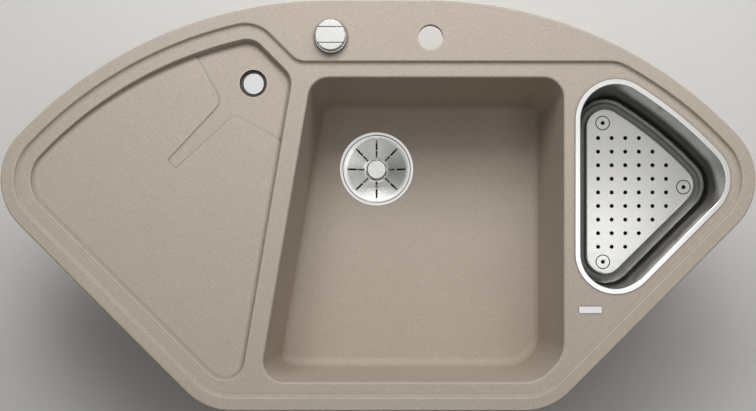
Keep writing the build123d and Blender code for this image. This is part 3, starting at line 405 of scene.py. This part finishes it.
refinish("perforated_plate", painted_shade_steel, in_hole_or_below)

# main waste: shade painted dark under the flange's dish, and on the strainer's walls and slots
dish_depth = 10 * MM
dish_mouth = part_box("waste_flange")[1][2] - dish_depth
refinish("waste_flange", painted_shade_steel, lambda centre, normal: centre.z < dish_mouth)
refinish("strainer_basket", painted_shade_steel, lambda centre, normal: normal.z < 0.35)

# the two grooves across the knob: shade painted grey into them
groove_offset = 10.9 * MM
groove_half = 0.8 * MM
groove_reach = 17.5 * MM
groove_depth = 3 * MM
groove_lip = 0.1 * MM  # the knob's top face is no groove
knob_x, knob_y = middle("waste_knob")
knob_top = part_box("waste_knob")[1][2]


def in_groove(centre, normal):
    across = abs(abs(centre.y - knob_y) - groove_offset) < groove_half
    lengthways = abs(centre.x - knob_x) < groove_reach
    deep = knob_top - groove_depth < centre.z < knob_top - groove_lip
    return across and lengthways and deep


refinish("waste_knob", groove_painted_shade_chrome, in_groove)


# ---- details that the solids leave plain -----------------------------------------------------
def solids_of(node):
    """Lowest and highest corner of each separate solid of a node."""
    mesh = shells[node].data
    group = list(range(len(mesh.vertices)))

    def root(vertex):
        while group[vertex] != vertex:
            group[vertex] = group[group[vertex]]
            vertex = group[vertex]
        return vertex

    for edge in mesh.edges:
        group[root(edge.vertices[0])] = root(edge.vertices[1])
    boxes = {}
    for vertex in mesh.vertices:
        place = vertex.co
        low, high = boxes.setdefault(root(vertex.index), (place.copy(), place.copy()))
        for axis in range(3):
            low[axis] = min(low[axis], place[axis])
            high[axis] = max(high[axis], place[axis])
    return list(boxes.values())


def thread(name, node, centre, size, low, high, pitch):
    """Screw thread round a node's upright neck: one ridge wound from low to high."""
    height = 0.7  # of the ridge, as a share of an even-sided one's
    deselect()
    bpy.ops.mesh.primitive_circle_add(
        vertices=3, radius=0.5 * pitch, rotation=(math.pi / 2, math.pi / 2, 0))
    ridge = bpy.context.active_object
    bpy.ops.object.transform_apply(rotation=True)
    edit(
        lambda: bpy.ops.transform.resize(value=(height, 1.0, 1.0)),
        lambda: bpy.ops.transform.translate(value=(size / 2, 0.0, 0.5 * pitch)),
    )
    turns = int((high - low) / pitch) - 1
    modify(ridge, "SCREW", axis="Z", screw_offset=pitch, iterations=turns, steps=48, render_steps=48)
    edit(lambda: bpy.ops.mesh.fill_holes(sides=0))
    settle(ridge, name, node, (*centre, low))


# pipe threads G 1 1/2 on both outlets, 11 to the inch, and the thread of the knob's bush
outlet_size = 47.8 * MM
outlet_pitch = 2.309 * MM
outlet_length = 20 * MM
for name, node, flange in (("main_outlet_thread", "waste_body", "waste_flange"),
                           ("small_outlet_thread", "small_waste_body", "small_waste_flange")):
    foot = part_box(node)[0][2]
    thread(name, node, middle(flange), outlet_size, foot, foot + outlet_length, outlet_pitch)
bush_size = 33 * MM
bush_pitch = 1.5 * MM
bush_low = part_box("knob_base")[0][2]
backnut_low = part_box("knob_backnut")[0][2]
thread("knob_bush_thread", "knob_base", middle("knob_backnut"), bush_size, bush_low, backnut_low,
       bush_pitch)

# gripped nuts of the two cable glands: each nut is its gland's inner end
nut_size = 15 * MM
nut_length = 7 * MM
rib_count = 18
rib_length = 6.4 * MM
rib_width = 1.1 * MM
rib_height = 0.8 * MM
rib_edge = 0.3 * MM


def grip_ribs(name, node, centre, way):
    """Ribs round a nut whose axis lies level and points along way."""
    ribs = []
    for step in range(rib_count):
        deselect()
        bpy.ops.mesh.primitive_cube_add(size=1)
        rib = bpy.context.active_object
        rib.scale = (rib_length, rib_width, rib_height)
        bpy.ops.object.transform_apply(scale=True)
        modify(rib, "BEVEL", width=rib_edge, segments=2)
        angle = 2 * math.pi * step / rib_count
        rib.rotation_euler = (angle, 0, 0)
        rib.location = (0, -nut_size / 2 * math.sin(angle), nut_size / 2 * math.cos(angle))
        bpy.ops.object.transform_apply(location=True, rotation=True)
        ribs.append(rib)
    settle(joined(ribs), name, node, centre, (0, 0, way))


inner_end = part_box("drive_gland")[1][0]
nut_place = (inner_end - nut_length / 2, middle("drive_gland")[1], mid_height("drive_gland"))
grip_ribs("drive_gland_grips", "drive_gland", nut_place, 0.0)

waste_x, waste_y = middle("waste_flange")
cap_x, cap_y = middle("overflow_cap")
way = math.atan2(waste_y - cap_y, waste_x - cap_x)  # straight away from the overflow
nut_start = 58 * MM  # from the main waste's middle
nut_reach = nut_start + nut_length / 2
nut_place = (waste_x + nut_reach * math.cos(way), waste_y + nut_reach * math.sin(way),
             mid_height("waste_cable_gland"))
grip_ribs("waste_gland_grips", "waste_cable_gland", nut_place, way)

# cross recesses in the screws' heads
recess_length = 4.4 * MM
recess_width = 1.0 * MM
recess_depth = 1.6 * MM
recess_edge = 0.15 * MM
recess_turn = math.radians(25)


def cross_recesses(node, from_below=False):
    """Cuts a cross recess into each screw head of a node."""
    bars = []
    for low, high in solids_of(node):
        for turn in (0.0, math.pi / 2):
            deselect()
            bpy.ops.mesh.primitive_cube_add(size=1)
            bar = bpy.context.active_object
            bar.scale = (recess_length, recess_width, 2 * recess_depth)
            bar.rotation_euler = (0, 0, turn + recess_turn)
            bar.location = ((low.x + high.x) / 2, (low.y + high.y) / 2, low.z if from_below else high.z)
            bpy.ops.object.transform_apply(location=True, rotation=True, scale=True)
            modify(bar, "BEVEL", width=recess_edge, segments=1)
            bars.append(bar)
    tool = joined(bars)
    shell = shells[node]
    only(shell)
    modify(shell, "BOOLEAN", object=tool, operation="DIFFERENCE", solver="EXACT", use_self=True)
    bpy.data.objects.remove(tool)
    bpy.ops.mesh.customdata_custom_splitnormals_clear()
    bpy.ops.object.shade_smooth_by_angle(angle=SMOOTH)


cross_recesses("waste_screws")
cross_recesses("small_waste_screw")
cross_recesses("clip_screws", from_below=True)

# rubber rings that sit in the seams round the three feet, flush in the plate
foot_size = 20 * MM
seam_half = 0.7 * MM
ring_flatness = 0.4
rings = []
for low, high in solids_of("plate_feet"):
    deselect()
    bpy.ops.mesh.primitive_torus_add(
        location=((low.x + high.x) / 2, (low.y + high.y) / 2, plate_top),
        major_radius=foot_size / 2, minor_radius=seam_half, major_segments=96, minor_segments=16)
    ring = bpy.context.active_object
    ring.scale = (1, 1, ring_flatness)
    bpy.ops.object.transform_apply(location=True, scale=True)
    rings.append(ring)
settle(joined(rings), "foot_rings", "plate_feet", slot="rubber")

# raised edge of the bare plate on the ledge
badge_corner = 1.6 * MM
badge_edge_width = 0.6 * MM
badge_edge_height = 0.25 * MM
badge_low, badge_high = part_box("badge_plate")
deselect()
bpy.ops.mesh.primitive_plane_add(size=1)
edge = bpy.context.active_object
edge.scale = (badge_high[0] - badge_low[0], badge_high[1] - badge_low[1], 1)
bpy.ops.object.transform_apply(scale=True)
edit(
    lambda: bpy.ops.mesh.bevel(offset=badge_corner, segments=6, affect="VERTICES"),
    lambda: bpy.ops.mesh.inset(thickness=badge_edge_width),
    lambda: bpy.ops.mesh.delete(type="FACE"),
)
modify(edge, "SOLIDIFY", thickness=badge_edge_height, offset=1.0)
settle(edge, "badge_edge", "badge_plate", (*middle("badge_plate"), badge_high[2]))


# ---- floor, light and camera -----------------------------------------------------------------
floor_size = 12
floor_gap = 12 * MM  # under the lowest outlet
deselect()
bpy.ops.mesh.primitive_plane_add(size=floor_size, location=(0, 0, cad_box[0][2] - floor_gap))
floor = bpy.context.active_object
floor.name = "floor"
# matt paint on a board: pale and even
floor.data.materials.append(moulded("pale floor", "#e4e2de", 0.8, 1.45, 3 * MM, uneven=0.005))


def soft_light(name, place, size, power, aim=(0, 0, 0), in_metal=False):
    """Rectangular lamp at a place, pointed at another. The metal mirrors it only if in_metal says so."""
    lamp = bpy.data.lights.new(name, "AREA")
    lamp.shape = "RECTANGLE"
    lamp.size, lamp.size_y = size
    lamp.energy = power
    stand = bpy.data.objects.new(name, lamp)
    stand.location = place
    stand.rotation_euler = (Vector(aim) - Vector(place)).to_track_quat("-Z", "Y").to_euler()
    stand.visible_glossy = in_metal
    bpy.context.scene.collection.objects.link(stand)


# soft boxes overhead, which the metal mirrors: all but the back one point straight down
soft_light("ceiling box", (0.1, 0.6, 2.2), (2.1, 2.0), 11.0, (0.1, 0.6, 0), True)
soft_light("front box", (0.0, -1.0, 2.0), (1.6, 0.8), 2.4, (0.0, -1.0, 0), True)
soft_light("right box", (0.79, 0.05, 2.1), (0.4, 0.3), 1.3, (0.79, 0.05, 0), True)
soft_light("back box", (0.0, 1.9, 1.9), (1.2, 0.6), 15.0, (0, 0, 0), True)
soft_light("dish box", (0.0, 1.15, 2.1), (0.5, 0.3), 1.8, (0.0, 1.15, 0), True)
# lamps that the metal doesn't mirror: the back is lit most, and the light falls off to the front
soft_light("low back light", (0.0, 1.1, 1.0), (1.6, 0.5), 4.1)
soft_light("near back light", (0.0, 0.85, 1.2), (0.8, 0.4), 4.8)
soft_light("left back light", (-0.35, 0.7, 1.1), (0.5, 0.5), 2.4)
soft_light("right back light", (0.9, 1.1, 1.3), (0.7, 0.7), 5.6)
soft_light("front light", (0.0, -1.2, 1.3), (1.2, 0.5), 0.6)

# grey where the camera and the metal see it, and dim as a light on the object
seen_strength = 0.2
light_strength = 0.05
world = bpy.data.worlds.new("studio")
bpy.context.scene.world = world
world.use_nodes = True
backdrop = world.node_tree.nodes["Background"]
backdrop.inputs["Color"].default_value = srgb("#ffffff")
rays = add(world, "ShaderNodeLightPath")
seen = add(world, "ShaderNodeMath",
           {0: rays.outputs["Is Camera Ray"], 1: rays.outputs["Is Glossy Ray"]}, operation="MAXIMUM")
seen = add(world, "ShaderNodeMath",
           {0: seen.outputs["Value"], 1: rays.outputs["Is Transmission Ray"]}, operation="MAXIMUM")
strength = add(world, "ShaderNodeMapRange",
               {"Value": seen.outputs["Value"], "To Min": light_strength, "To Max": seen_strength})
world.node_tree.links.new(strength.outputs["Result"], backdrop.inputs["Strength"])

rim_top = 8 * MM
camera_height = 1450 * MM  # above the rim's top
view_width = 1057 * MM  # what the picture spans at the rim's top
axis_x = 2.8 * MM  # where the camera stands over the sink, which the shift brings back to the middle
axis_y = -115.3 * MM
sensor = 36.0
lens = bpy.data.cameras.new("camera")
lens.sensor_width = sensor
lens.lens = sensor * camera_height / view_width
lens.shift_x = -axis_x / view_width
lens.shift_y = -axis_y / view_width
camera = bpy.data.objects.new("camera", lens)
camera.location = (axis_x, axis_y, rim_top + camera_height)
bpy.context.scene.collection.objects.link(camera)
bpy.context.scene.camera = camera
bpy.context.scene.view_settings.view_transform = "Standard"
